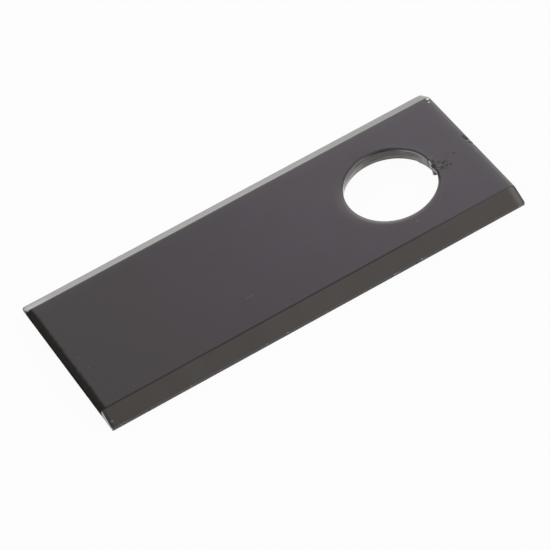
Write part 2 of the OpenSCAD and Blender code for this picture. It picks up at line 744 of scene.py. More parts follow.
@dataclass(frozen=True)
class SteelFinish:
    """Dark rolled steel under a thin oily film, with the grain that its making left.

    Attributes:
        name: The material's name.
        tone: Colour of the plain steel.
        rubbed: Colour where it is rubbed.
        waves: Waves of its grain to the millimetre, along each axis.
        roughness: Roughness in the middle of its range.
        spread: How far the grain changes the roughness.
        relief: Depth of the grain, in millimetres.
        film: Weight of the oily film.
        marks: Straight marks on it: scratches and specks, with some painted highlights and painted shade.
        seam_strength: How dark the groove beside a bevel is painted: a real groove, with painted shade in
            it.
        scale: The black scale, on a surface that reaches the tip.
        tip_tone: Colour of the face towards the tip, in part painted light for how the light falls along the
            face.
        tip_share: How far it takes that colour.
        tip_span: Where along the bar, in millimetres, the tip's colour ends.
        worn_gain: What handling adds to its colour.
        scuff: A flecked patch on it.
    """

    name: str
    tone: Colour
    rubbed: Colour
    waves: Triple
    roughness: float
    spread: float
    relief: float
    film: float = 0.0
    marks: tuple[StraightMark, ...] = ()
    seam_strength: float = 0.0
    scale: TipScale | None = None
    tip_tone: Colour | None = None
    tip_share: float = 0.85
    tip_span: Point = (-72.0, -28.0)
    worn_gain: Colour | None = None
    scuff: Scuff | None = None
    rubbed_span: Point = (0.25, 0.75)
    mottle_waves: Triple = (0.11, 0.14, 0.14)
    mottle_share: float = 0.6
    fine_waves: Triple = (4.0, 5.0, 5.0)
    grime_and_shade_tone: Colour = (0.014, 0.0125, 0.011)
    grime_and_shade_roughness: float = 0.25
    bare_and_highlight_tone: Colour = (0.80, 0.78, 0.75)
    film_roughness: float = 0.22
    roughness_limits: Point = (0.05, 1.0)

    def material(self, bar: "BarSizes") -> bpy.types.Material:
        """Makes the finish as a material.

        Args:
            bar: The bar's sizes, which place the scale, the seams and the wear.

        Returns:
            The material.
        """
        made = bpy.data.materials.new(self.name)
        graph = emptied(made)
        spot = graph.scaled(graph.field("ShaderNodeTexCoord", None, None, "Object"), 1.0 / MM)
        steel = self.steel(graph, spot, bar).outputs[0]
        if self.scale:
            crust = self.scale.shader(graph, spot).outputs[0]
            sockets = {0: self.scale.cover(graph, spot, bar), 1: steel, 2: crust}
            steel = graph.node("ShaderNodeMixShader", None, sockets).outputs[0]
        graph.node("ShaderNodeOutputMaterial", None, {0: steel})
        return made

    def grain(self, graph: Graph, spot: Field) -> tuple[Field, Field]:
        """The surface's variation.

        Args:
            graph: The material's tree.
            spot: The place on the bar, in millimetres.

        Returns:
            How far the surface is rubbed, about 0.5, and its fine relief, about 0.5.
        """
        mottle = graph.noise(graph.stretched(spot, self.mottle_waves), detail=3.0, roughness=0.55)
        lines = graph.noise(graph.stretched(spot, self.waves), detail=3.0, roughness=0.6)
        fine = graph.noise(graph.stretched(spot, self.fine_waves))
        rubbed = mottle * self.mottle_share + lines * (1.0 - self.mottle_share)
        return rubbed, (lines + fine) * 0.5

    def plain_tone(self, graph: Graph, rubbed: Field, place: tuple[Field, Field], bar: "BarSizes") -> Field:
        """The steel's colour without its marks.

        Args:
            graph: The material's tree.
            rubbed: How far the surface is rubbed.
            place: The place along and across the bar, in millimetres.
            bar: The bar's sizes, which place the wear.

        Returns:
            The colour.
        """
        tone = graph.blend(rubbed.step(*self.rubbed_span), self.tone, self.rubbed)
        if self.tip_tone:
            by_tip = self.tip_share - self.tip_share * place[0].step(*self.tip_span)
            tone = graph.blend(by_tip, tone, self.tip_tone)
        if self.worn_gain:
            worn = bar.worn(*place)
            if self.scuff:
                worn = worn.most(self.scuff.mask(*place))
            tone = graph.blend(worn, tone, self.worn_gain, "ADD")
        return tone

    def marked(
        self, graph: Graph, spot: Field, place: tuple[Field, Field], bar: "BarSizes"
    ) -> tuple[Field, Field]:
        """Where the surface is marked, and where shade and highlights are painted on it.

        Args:
            graph: The material's tree.
            spot: The place on the bar, in millimetres.
            place: The same place along and across the bar.
            bar: The bar's sizes, which place the seams beside the bevels.

        Returns:
            How far grime and painted shade cover it, and how far it is bare steel or carries a painted
            highlight.
        """
        # Painted shade: the groove beside each bevel is darkened in colour.
        grime_and_shade = graph.carried("grime_and_shade").most(bar.seam(graph, *place) * self.seam_strength)
        bare_and_highlight = graph.carried("bare_and_highlight")
        if self.scuff:
            flecks = self.scuff.flecks(graph, spot)
            grime_and_shade, bare_and_highlight = (own.most(more) for own, more in zip((grime_and_shade, bare_and_highlight), flecks))
        for mark in self.marks:
            if mark.tone is Tone.DARK:
                grime_and_shade = grime_and_shade.most(mark.mask(*place))
            else:
                bare_and_highlight = bare_and_highlight.most(mark.mask(*place))
        return grime_and_shade, bare_and_highlight

    def steel(self, graph: Graph, spot: Field, bar: "BarSizes") -> bpy.types.Node:
        """The steel itself.

        Args:
            graph: The material's tree.
            spot: The place on the bar, in millimetres.
            bar: The bar's sizes.

        Returns:
            The shader node.
        """
        place = graph.split(spot)[:2]
        rubbed, relief = self.grain(graph, spot)
        grime_and_shade, bare_and_highlight = self.marked(graph, spot, place, bar)
        tone = self.plain_tone(graph, rubbed, place, bar)
        # Grime and painted shade darken the colour; bare steel and painted highlights lighten it.
        tone = graph.blend(grime_and_shade, tone, self.grime_and_shade_tone)
        rough = self.roughness + (relief - 0.5) * self.spread + grime_and_shade * self.grime_and_shade_roughness
        sockets = {
            "Base Color": graph.blend(bare_and_highlight, tone, self.bare_and_highlight_tone),
            "Metallic": 1.0,
            "Roughness": rough.within(*self.roughness_limits),
            "Coat Weight": (self.film * (1.0 - grime_and_shade)).within(0.0, 1.0),
            "Coat Roughness": self.film_roughness,
            "Normal": graph.bump(self.relief, relief),
        }
        return graph.node("ShaderNodeBsdfPrincipled", None, sockets)


@dataclass(frozen=True)
class CutFinish(SteelFinish):
    """A cut wall: a rubbed band with drag lines above, and a torn band below."""

    contrast: float = 0.6
    rubbed_level: float = 0.60
    torn_level: float = 0.22
    crumb_waves: Triple = (3.0, 3.0, 4.0)

    def grain(self, graph: Graph, spot: Field) -> tuple[Field, Field]:
        """The wall's drag lines above and its crumbled grain below.

        Args:
            graph: The material's tree.
            spot: The place on the bar, in millimetres.

        Returns:
            How bright the wall is rubbed, and its fine relief.
        """
        torn = graph.carried("fracture")
        drag = graph.noise(graph.stretched(spot, self.waves), detail=3.0, roughness=0.6)
        crumb = graph.noise(graph.stretched(spot, self.crumb_waves), detail=4.0, roughness=0.65)
        streaks = (drag - 0.5) * self.contrast
        above = streaks + self.rubbed_level
        below = (crumb + streaks) * 0.5 + self.torn_level
        return (1.0 - torn) * above + torn * below, (1.0 - torn) * drag + torn * crumb


@dataclass(frozen=True)
class KnifeFinish(SteelFinish):
    """A narrow cutting edge, worn bright in patches along its length."""

    fine_waves: Triple = (3.0, 6.0, 6.0)
    patch_span: Point = (0.48, 0.80)

    def grain(self, graph: Graph, spot: Field) -> tuple[Field, Field]:
        """The edge's bright and dull patches.

        Args:
            graph: The material's tree.
            spot: The place on the bar, in millimetres.

        Returns:
            How bright the edge is worn, and its fine relief.
        """
        patches = graph.noise(graph.stretched(spot, self.waves), detail=3.0, roughness=0.65)
        return patches.step(*self.patch_span), graph.noise(graph.stretched(spot, self.fine_waves))


ROLLED = SteelFinish(
    "rolled_face",
    tone=(0.0425, 0.031, 0.0415),
    rubbed=(0.0485, 0.0352, 0.0475),
    waves=(0.22, 0.30, 0.30),
    roughness=0.34,
    spread=0.06,
    relief=0.002,
    film=1.0,
    marks=TORN_RIM + END_DENT_AND_SHADE + SPECKS_AND_GLINTS,
    seam_strength=0.5,
    scale=TipScale(),
    # Painted light in part: the face's colour shifts towards the tip to stand in for how the light falls
    # along it.
    tip_tone=(0.0447, 0.0362, 0.0378),
    worn_gain=(0.006, 0.011, 0.005),
    scuff=SCUFF,
)

FINISHES = {
    Skin.ROLLED: ROLLED,
    Skin.BEVELLED: SteelFinish(
        "rolled_bevel",
        tone=(0.040, 0.0318, 0.0282),
        rubbed=(0.050, 0.0398, 0.0352),
        waves=(0.06, 2.4, 2.4),
        roughness=0.30,
        spread=0.10,
        relief=0.004,
        film=1.0,
        marks=BEVEL_MARKS,
        seam_strength=0.5,
    ),
    Skin.KNIFE: KnifeFinish(
        "knife_edge",
        tone=(0.090, 0.087, 0.084),
        rubbed=(0.29, 0.285, 0.28),
        waves=(0.7, 1.5, 1.5),
        roughness=0.38,
        spread=0.2,
        relief=0.015,
        marks=BEVEL_MARKS,
    ),
    Skin.SHEARED: CutFinish(
        "sheared_end",
        tone=(0.055, 0.052, 0.049),
        rubbed=(0.12, 0.114, 0.109),
        waves=(1.0, 3.0, 0.25),
        roughness=0.42,
        spread=0.3,
        relief=0.03,
        marks=TIP_CORNER,
        scale=TipScale(),
    ),
    Skin.PUNCHED: CutFinish(
        "punched_wall",
        tone=(0.042, 0.0378, 0.0338),
        rubbed=(0.10, 0.0925, 0.084),
        waves=(0.16, 0.16, 2.6),
        roughness=0.36,
        spread=0.3,
        relief=0.03,
        film=0.7,
        contrast=2.2,
    ),
    Skin.CHIPPED: KnifeFinish(
        "chipped_steel",
        tone=(0.25, 0.245, 0.24),
        rubbed=(0.6, 0.59, 0.58),
        waves=(3.0, 3.0, 3.0),
        roughness=0.45,
        spread=0.2,
        relief=0.02,
    ),
    Skin.UNDERSIDE: replace(
        ROLLED,
        name="rolled_underside",
        roughness=0.36,
        marks=(),
        seam_strength=0.0,
        scale=None,
        tip_tone=None,
        worn_gain=None,
        scuff=None,
    ),
}


@dataclass(frozen=True)
class BarSizes:
    """Sizes of the bar in metres, angles in degrees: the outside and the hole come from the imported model.

    A rim's two sizes are the width and the depth of its roll. A name that ends in mm is in millimetres.
    """

    tip: float
    end: float
    half_width: float
    half_thick: float
    hole: float
    bevel_width: float = 3.6 * MM
    edge_land: float = 0.8 * MM
    roll_width: float = 1.0 * MM
    roll_depth: float = 0.4 * MM
    bevel_roll_width: float = 0.8 * MM
    bevel_roll_depth: float = 0.3 * MM
    sag_width: float = 3.0 * MM
    sag_depth: float = 0.085 * MM
    near_tip_roll: float = 0.3
    far_rim: Point = (0.42 * MM, 0.13 * MM)
    near_rim: Point = (1.60 * MM, 0.70 * MM)
    near_angle: float = -115.0
    near_focus: float = 3.0
    drawn_rim: Point = (0.16 * MM, 0.22 * MM)
    drawn_angle: float = 68.0
    drawn_focus: float = 50.0
    worn_shift: float = 0.15 * MM
    worn_angle: float = -34.0
    breakout_height: float = 1.2 * MM
    dish_width: float = 2.8 * MM
    dish_depth: float = 0.13 * MM
    dish_angle: float = 165.0
    far_flare: float = 0.20 * MM
    near_flare: float = 0.42 * MM
    corner: float = 0.35 * MM
    edge_round: float = 0.05 * MM
    dent_length: float = 2.6 * MM
    dent_depth: float = 0.15 * MM
    dent_reach: float = 1.1 * MM
    dent_offset: float = 0.7 * MM
    seam_depth: float = 0.035 * MM
    seam_width: float = 0.22 * MM
    seam_wander: float = 0.14 * MM
    seam_fade: float = 0.80
    seam_fading_mm: Point = (-12.0, 17.0)
    seam_waves: Point = (0.25, 0.02)
    seam_off: float = 0.1
    worn_rim_mm: Point = (0.3, 2.2)
    worn_side_mm: float = 2.6
    worn_end_mm: Point = (2.4, 0.3)
    seed: float = 7.0

    @classmethod
    def packed(cls) -> "BarSizes":
        """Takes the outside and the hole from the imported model.

        Returns:
            The sizes.
        """
        low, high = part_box("blade")
        bore = next(each for each in frame["record"]["mounts"] if each["kind"] == "bore")
        return cls(low.x, high.x, high.y, high.z, bore["dims"]["r_mm"] * MM)

    @property
    def bevel_line(self) -> float:
        """How far from the middle the bevels begin."""
        return self.half_width - self.bevel_width

    def beside(self, graph: Graph, x: Field, y: Field) -> Field:
        """How far a place lies out from the bevel's wandering line.

        Args:
            graph: The tree.
            x: Place along the bar, in millimetres.
            y: Place across the bar, in millimetres.

        Returns:
            The distance in millimetres, below 0 on the flat.
        """
        along, across = self.seam_waves
        wander = graph.noise(graph.join(x * along, y * across, self.seed)) - 0.5
        return abs(y) - self.bevel_line / MM + wander * (self.seam_wander / MM)

    def seam(self, graph: Graph, x: Field, y: Field) -> Field:
        """How far a place lies in the fine groove beside a bevel.

        Args:
            graph: The tree.
            x: Place along the bar, in millimetres.
            y: Place across the bar, in millimetres.

        Returns:
            1 in the groove, falling to 0 beside it.
        """
        width = self.seam_width / MM
        off = self.beside(graph, x, y) - self.seam_off * width
        kept = 1.0 - self.seam_fade * x.step(*self.seam_fading_mm)
        return kept * (1.0 - abs(off).step(0.0, width))

    def worn(self, x: Field, y: Field) -> Field:
        """Where handling has rubbed the top face: round the hole, by the far bevel and at the pivot end.

        Args:
            x: Place along the bar, in millimetres.
            y: Place across the bar, in millimetres.

        Returns:
            1 where the face is rubbed most, falling to 0.
        """
        line = self.bevel_line / MM
        by_hole = 1.0 - (x * x + y * y).sqrt().step(*(self.hole / MM + off for off in self.worn_rim_mm))
        by_side = y.step(line - self.worn_side_mm, line)
        by_end = x.step(*(self.end / MM - off for off in self.worn_end_mm))
        return by_hole.most(by_side).most(by_end)

    @staticmethod
    def facing(east: Shape, north: Shape, degrees: float) -> Shape:
        """How far a direction from the pivot axis agrees with an angle.

        Args:
            east: The direction's share along the bar.
            north: The direction's share across the bar.
            degrees: The angle.

        Returns:
            1 at the angle, falling to 0 opposite it.
        """
        turn = math.radians(degrees)
        return 0.5 + 0.5 * (east * math.cos(turn) + north * math.sin(turn))

    def pulled(self, east: Shape, north: Shape, share: float = 1.0) -> Shape:
        """How far wear has moved the hole outwards, and how far its uneven rim is pulled out.

        Args:
            east: Share along the bar of a direction from the pivot axis.
            north: Share across the bar of that direction.
            share: How much of the rim's unevenness the place has.

        Returns:
            The distance, below 0 where the hole or its rim has moved in.
        """
        reach = self.worn_shift * (2.0 * self.facing(east, north, self.worn_angle) - 1.0)
        for pull in RIM_PULLS:
            reach = reach + share * pull.reach * MM * self.facing(east, north, pull.angle) ** pull.focus
        return reach

    def lean(self, east: Shape, north: Shape) -> Shape:
        """How far the punch has drawn the rim down on the near side, from 0 to 1."""
        return self.facing(east, north, self.near_angle) ** self.near_focus

    def rim(self, east: Shape, north: Shape) -> tuple[Shape, Shape]:
        """The hole's rolled rim, which the punch drew down unevenly.

        Args:
            east: Share along the bar of a direction from the pivot axis.
            north: Share across the bar of that direction.

        Returns:
            The roll's width and its depth.
        """
        lean = self.lean(east, north)
        drawn = self.facing(east, north, self.drawn_angle) ** self.drawn_focus
        width, depth = (
            far + (near - far) * lean + more * drawn
            for far, near, more in zip(self.far_rim, self.near_rim, self.drawn_rim)
        )
        return width, depth


class Net:
    """Gathers the vertices and four-sided faces of a closed net."""

    def __init__(self) -> None:
        """Starts with nothing."""
        self.count = 0
        self.places: list[np.ndarray] = []
        self.plans: list[np.ndarray] = []
        self.marks: dict[str, list[np.ndarray]] = {"lift": [], "fracture": [], "grime_and_shade": [], "bare_and_highlight": []}
        self.faces: list[np.ndarray] = []
        self.skins: list[np.ndarray] = []

    def add(self, place: np.ndarray, plan: np.ndarray, **marks: Union[np.ndarray, float]) -> np.ndarray:
        """Adds vertices.

        Args:
            place: Their places along and across the bar, two numbers each.
            plan: The places at which the height of the top above them is read.
            marks: Their marks; a mark that isn't given is 0.

        Returns:
            The vertices' numbers, in the shape of the places.
        """
        shape = place.shape[:-1]
        size = int(np.prod(shape))
        self.places.append(place.reshape(-1, 2))
        self.plans.append(np.broadcast_to(plan, place.shape).reshape(-1, 2))
        for key, held in self.marks.items():
            held.append(np.broadcast_to(np.asarray(marks.get(key, 0.0), float), shape).reshape(-1))
        numbers = np.arange(self.count, self.count + size).reshape(shape)
        self.count += size
        return numbers

    def patch(self, corners: Sequence[np.ndarray], skin: Skin) -> None:
        """Adds faces, leaving out those with a missing corner.

        Args:
            corners: Numbers of the faces' first, second, third and fourth corners.
            skin: The kind of surface.
        """
        faces = np.stack(corners, -1).reshape(-1, 4)
        faces = faces[(faces >= 0).all(1)]
        self.faces.append(faces)
        self.skins.append(np.full(len(faces), skin.value))

    def band(self, outer: np.ndarray, inner: np.ndarray, skin: Skin) -> None:
        """Adds the faces between two closed rings of as many vertices."""
        self.patch([outer, np.roll(outer, -1), np.roll(inner, -1), inner], skin)

    def mesh(self, name: str) -> bpy.types.Mesh:
        """Makes the flat net as a mesh with its marks as attributes.

        Args:
            name: The mesh's name.

        Returns:
            The mesh, still flat at the middle of the bar's height.
        """
        flat = np.concatenate(self.places)
        plan = np.concatenate(self.plans)
        mesh = bpy.data.meshes.new(name)
        mesh.from_pydata(np.pad(flat, ((0, 0), (0, 1))).tolist(), [], np.concatenate(self.faces).tolist())
        held = mesh.attributes.new("plan", "FLOAT_VECTOR", "POINT")
        held.data.foreach_set("vector", np.pad(plan, ((0, 0), (0, 1))).astype(np.float32).ravel())
        for key, parts in self.marks.items():
            held = mesh.attributes.new(key, "FLOAT", "POINT")
            held.data.foreach_set("value", np.concatenate(parts).astype(np.float32))
        held = mesh.attributes.new("skin", "INT", "FACE")
        held.data.foreach_set("value", np.concatenate(self.skins).astype(np.int32))
        return mesh


@dataclass
class Blade:
    """The blade: one bar, rolled with two bevels, sheared to length, punched and worn.

    Lengths are in metres, angles in degrees, and places and sizes of nicks in millimetres.
    """

    bar: BarSizes
    patch_half: float = 13.0 * MM
    tip_zones: Point = (1.3 * MM, 6.0 * MM)
    end_zone: float = 1.8 * MM
    seam_zone: float = 0.5 * MM
    land_zone: float = 0.4 * MM
    tear_zone: Point = (-5.0 * MM, 4.0 * MM)
    edge_rounds: tuple[Point, ...] = ((0.985, 0.7), (0.95, 1.0))
    end_lifts: Point = (0.9, 0.1)
    end_rows: int = 12
    end_break: Point = (0.62, 0.5)
    patch_rings: int = 10
    rim_rings: int = 20
    rim_crowding: float = 1.4
    rim_margin: float = 1.1
    wall_rings: int = 24
    lower_rings: int = 7
    wall_waves: tuple[Triple, ...] = ((3, 1.0, 1.0), (7, 2.0, 0.7), (17, 0.0, 0.5), (31, 0.0, 0.4))
    wall_waver: float = 0.10
    flare_power: float = 0.75
    fracture_fade: float = 0.12
    crumb_waves_mm: Triple = (1.6, 1.6, 1.1)
    crumb_level: float = 0.65
    bevel_blend: float = 0.08 * MM
    bevel_roll_fade: float = 0.6 * MM
    dish_focus: float = 2.0
    least_dish: float = 0.001
    torn_angles: Point = (-24.0, -3.0)
    torn_fade: float = 2.0
    tongue_start: float = -7.0
    tongue_rise: float = 0.155 * MM
    tongue_flare: float = 0.55 * MM
    tongue_lean: float = 0.30 * MM
    tongue_bend: Point = (-19.0, -11.0)
    tongue_edge: Point = (-0.05 * MM, 0.10 * MM)
    upright_angles: Point = (-10.0, 28.0)
    upright_share: float = 0.7
    upright_fade: float = 6.0
    cleft_angle: float = -9.0
    cleft_half: float = 0.24 * MM
    cleft_length: float = 0.9 * MM
    cleft_steepness: float = 0.8
    fracture_depth: float = 0.07 * MM
    nick_places: tuple[Point, ...] = (
        (-73.6, 0.30), (-71.5, 0.22), (-70.7, 0.20), (-67.8, 0.26), (-55.2, 0.15), (-43.9, 0.18),
        (-30.5, 0.15), (-17.3, 0.15), (-6.1, 0.24), (-3.0, 0.20), (-0.3, 0.24), (9.4, 0.16), (16.2, 0.18),
    )
    far_nick_places: tuple[Point, ...] = (
        (-75.4, 0.30), (-61.0, 0.20), (-37.5, 0.16), (-12.2, 0.20), (6.8, 0.16), (18.7, 0.30),
    )
    nick_lift: float = 0.45
    nick_least: Triple = (0.7, 0.5, 0.7)
    nick_most: Triple = (1.3, 0.9, 1.4)
    sharp_angle: float = 38.0
    materials: dict[Skin, bpy.types.Material] = field(default_factory=dict)

    def build(self) -> bpy.types.Object:
        """Builds and dresses the blade.

        Returns:
            The finished piece.
        """
        self.materials = {skin: finish.material(self.bar) for skin, finish in FINISHES.items()}
        piece = placed("blade_body", self.net().mesh("blade_body"))
        self.raise_relief(piece)
        self.nick_edges(piece)
        self.smooth(piece)
        return piece

    def lines(self) -> tuple[np.ndarray, np.ndarray]:
        """The net's lines, closer where the surface turns.

        Returns:
            The places of the lines along the bar and across it.
        """
        bar = self.bar
        edge = bar.edge_round
        half = self.patch_half
        rolled, scaled = (bar.tip + zone for zone in self.tip_zones)
        sagged = bar.end - self.end_zone
        along = stretches(
            (bar.tip + edge, rolled, 13),
            (rolled, scaled, 10),
            (scaled, -half, 44),
            (-half, half, 76),
            (half, sagged, 14),
            (sagged, bar.end - edge, 20),
        )
        before, after = (bar.bevel_line + off for off in (-self.seam_zone, self.seam_zone))
        land = bar.half_width - self.land_zone
        side = stretches(
            (half, before, 6), (before, after, 14), (after, land, 9), (land, bar.half_width - edge, 4)
        )
        low, high = self.tear_zone
        middle = stretches((-half, low, 26), (low, high, 54), (high, half, 30))
        across = np.concatenate([-side[:0:-1], middle, side[1:]])
        return along, across

    def rounded(self, place: np.ndarray) -> np.ndarray:
        """Rounds the bar's four corners in plan.

        Args:
            place: Places in plan.

        Returns:
            The places, drawn in at the corners.
        """
        bar = self.bar
        middle = np.array([(bar.tip + bar.end) / 2, 0.0])
        reach = np.array([(bar.end - bar.tip) / 2, bar.half_width]) - bar.corner
        beyond = np.maximum(np.abs(place - middle) - reach, 0.0)
        length = np.linalg.norm(beyond, axis=-1, keepdims=True)
        pull = beyond.max(-1, keepdims=True) / np.where(length > 0, length, 1.0)
        inside = np.abs(place - middle) - beyond
        return middle + np.sign(place - middle) * (inside + beyond * np.where(length > 0, pull, 1.0))

    def net(self) -> Net:
        """Lays out the flat net: two faces, the outer walls between them and the hole.

        Returns:
            The net.
        """
        net = Net()
        along, across = self.lines()
        grid = np.stack(np.meshgrid(along, across, indexing="ij"), -1)
        slack = 1e-9
        inside = (np.abs(grid) < self.patch_half - slack).all(-1)
        upper, lower = (self.face(net, grid, inside, lift) for lift in (1.0, 0.0))
        self.outer_walls(net, grid, upper, lower)
        on_side = np.abs(np.abs(grid).max(-1) - self.patch_half) < slack
        ring = np.argwhere(on_side)
        angles = np.arctan2(grid[on_side][:, 1], grid[on_side][:, 0])
        ring = ring[np.argsort(angles)]
        self.hole(net, *(each[ring[:, 0], ring[:, 1]] for each in (grid, upper, lower)))
        return net

    def face(self, net: Net, grid: np.ndarray, inside: np.ndarray, lift: float) -> np.ndarray:
        """Adds the upper or the lower face around the hole's patch.

        Args:
            net: The net.
            grid: Where the lines cross.
            inside: Which crossings lie in the hole's patch.
            lift: 1 for the upper face, 0 for the lower one.

        Returns:
            The vertices' numbers, with -1 in the patch.
        """
        numbers = np.full(inside.shape, -1)
        place = self.rounded(grid[~inside])
        numbers[~inside] = net.add(place, place, lift=lift)
        corners = [numbers[:-1, :-1], numbers[1:, :-1], numbers[1:, 1:], numbers[:-1, 1:]]
        if lift == 0.0:
            net.patch(corners[::-1], Skin.UNDERSIDE)
            return numbers
        middle = (grid[0, :-1, 1] + grid[0, 1:, 1]) / 2
        for start, stop in zip(*self.runs(np.abs(middle) > self.bar.bevel_line)):
            skin = Skin.BEVELLED if abs(middle[start]) > self.bar.bevel_line else Skin.ROLLED
            net.patch([each[:, start:stop] for each in corners], skin)
        return numbers

    @staticmethod
    def runs(flags: np.ndarray) -> tuple[np.ndarray, np.ndarray]:
        """The starts and stops of the runs of equal flags."""
        turns = np.flatnonzero(np.diff(flags)) + 1
        return np.append(0, turns), np.append(turns, len(flags))

    def outer_walls(self, net: Net, grid: np.ndarray, upper: np.ndarray, lower: np.ndarray) -> None:
        """Adds the knife edges and the sheared ends.

        Args:
            net: The net.
            grid: Where the lines cross.
            upper: Numbers of the upper face's vertices.
            lower: Numbers of the lower face's vertices.
        """
        count_x, count_y = grid.shape[:2]
        loop = [(i, 0) for i in range(count_x - 1)]
        loop += [(count_x - 1, j) for j in range(count_y - 1)]
        loop += [(i, count_y - 1) for i in range(count_x - 1, 0, -1)]
        loop += [(0, j) for j in range(count_y - 1, 0, -1)]
        column, row = np.array(loop).T
        out = np.stack([
            (column == count_x - 1) * 1.0 - (column == 0),
            (row == count_y - 1) * 1.0 - (row == 0),
        ], -1)
        edge = grid[column, row]
        plan = self.rounded(edge)
        after = np.roll(column, -1)
        on_end = (column == after) & ((column == 0) | (column == count_x - 1))
        levels = [*self.edge_rounds, *((lift, 1.0) for lift in np.linspace(*self.end_lifts, self.end_rows))]
        levels += [(1.0 - lift, push) for lift, push in self.edge_rounds[::-1]]
        previous = upper[column, row]
        for lift, push in levels:
            place = self.rounded(edge + out * self.bar.edge_round * push)
            torn = soft_step(np.full(len(edge), lift), *self.end_break) * (np.abs(out[:, 0]) > 0)
            current = net.add(place, plan, lift=lift, fracture=torn)
            self.wall_row(net, previous, current, on_end)
            previous = current
        self.wall_row(net, previous, lower[column, row], on_end)

    @staticmethod
    def wall_row(net: Net, above: np.ndarray, below: np.ndarray, on_end: np.ndarray) -> None:
        """Adds one row of faces to the outer walls.

        Args:
            net: The net.
            above: Numbers of the row's upper vertices.
            below: Numbers of its lower ones.
            on_end: Which faces lie on a sheared end.
        """
        for skin, chosen in ((Skin.SHEARED, on_end), (Skin.KNIFE, ~on_end)):
            corners = (above, below, np.roll(below, -1), np.roll(above, -1))
            net.patch([each[chosen] for each in corners], skin)

    def hole(self, net: Net, square: np.ndarray, upper: np.ndarray, lower: np.ndarray) -> None:
        """Adds the rings that lead from the patch's square to the hole, down its wall and out below.

        Args:
            net: The net.
            square: Places on the patch's border, in order round the hole.
            upper: Numbers of those vertices on the upper face.
            lower: Numbers of those vertices on the lower face.
        """
        bar = self.bar
        angle = np.arctan2(square[:, 1], square[:, 0])
        ray = np.stack([np.cos(angle), np.sin(angle)], -1)
        bore = bar.hole + bar.pulled(*ray.T)[:, None]
        rim_width = bar.near_rim[0]
        level = bore + self.rim_margin * rim_width
        previous = upper
        for share in np.linspace(0.0, 1.0, self.patch_rings)[1:]:
            place = square * (1 - share) + ray * level * share
            previous = self.ring(net, previous, Skin.ROLLED, place, place, lift=1.0)
        for inset in np.linspace(1.0, 0.0, self.rim_rings) ** self.rim_crowding * rim_width:
            place = ray * (bore + inset)
            previous = self.ring(net, previous, Skin.ROLLED, place, place, lift=1.0)
        rim = ray * bore
        for lift in np.linspace(1.0, 0.0, self.wall_rings)[1:-1]:
            radius, marks = self.wall(np.degrees(angle), lift)
            previous = self.ring(net, previous, Skin.PUNCHED, ray * radius[:, None], rim, lift=lift, **marks)
        radius = self.wall(np.degrees(angle), 0.0)[0] + bar.edge_round
        previous = self.ring(net, previous, Skin.PUNCHED, ray * radius[:, None], rim, lift=0.0)
        for share in np.linspace(0.0, 1.0, self.lower_rings)[1:-1]:
            place = ray * radius[:, None] * (1 - share) + square * share
            previous = self.ring(net, previous, Skin.UNDERSIDE, place, rim, lift=0.0)
        net.band(previous, lower, Skin.UNDERSIDE)

    @staticmethod
    def ring(
        net: Net,
        previous: np.ndarray,
        skin: Skin,
        place: np.ndarray,
        plan: np.ndarray,
        **marks: Union[np.ndarray, float],
    ) -> np.ndarray:
        """Adds one ring and the faces that join it to the ring before.

        Args:
            net: The net.
            previous: Numbers of the vertices of the ring before.
            skin: The kind of surface between the two.
            place: Places of the ring's vertices in plan.
            plan: The places at which the height of the top above them is read.
            marks: The vertices' marks.

        Returns:
            The numbers of the ring's vertices.
        """
        current = net.add(place, plan, **marks)
        net.band(previous, current, skin)
        return current

    def wall(self, degrees: np.ndarray, lift: float) -> tuple[np.ndarray, dict[str, np.ndarray]]:
        """The punched wall: rubbed straight above, broken out below, torn on one side.

        Args:
            degrees: Angles round the hole.
            lift: Height on the wall, from 0 below to 1 at the rim.

        Returns:
            The wall's radius at each angle, and its marks, with painted highlights, reflections and shade
            among them.
        """
        bar = self.bar
        turn = np.radians(degrees)
        wave = sum(share * np.sin(count * turn + phase) for count, phase, share in self.wall_waves)
        way = (np.cos(turn), np.sin(turn))
        height = lift * (2 * bar.half_thick - bar.rim(*way)[1])
        line = bar.breakout_height * (1.0 + self.wall_waver * wave)
        below = np.clip((line - height) / line, 0.0, 1.0)
        flare = bar.far_flare + (bar.near_flare - bar.far_flare) * bar.facing(*way, bar.near_angle)
        flare = flare * (1.0 - self.upright_share * window(degrees, self.upright_angles, self.upright_fade))
        torn = window(degrees, self.torn_angles, self.torn_fade)
        gone = soft_step((self.tongue_start - degrees) * self.tongue_rise - height, *self.tongue_edge)
        marks = {"fracture": soft_step(below, 0.0, self.fracture_fade)}
        # The wall's dark marks, painted shade among them, and its bright marks, painted highlights and
        # reflections among them.
        for key, tone in (("grime_and_shade", Tone.DARK), ("bare_and_highlight", Tone.BRIGHT)):
            masks = [mark.mask(degrees, lift) for mark in WALL_MARKS_AND_PAINTED_LIGHT if mark.tone is tone]
            marks[key] = np.max(masks, axis=0)
        plain = flare * below ** self.flare_power
        lean = self.tongue_lean * soft_step(degrees, *self.tongue_bend)
        broken = self.tongue_flare * gone - lean * (1 - gone)
        bore = bar.hole + bar.pulled(*way, lift * lift)
        return bore + plain * (1 - torn) + broken * torn, marks

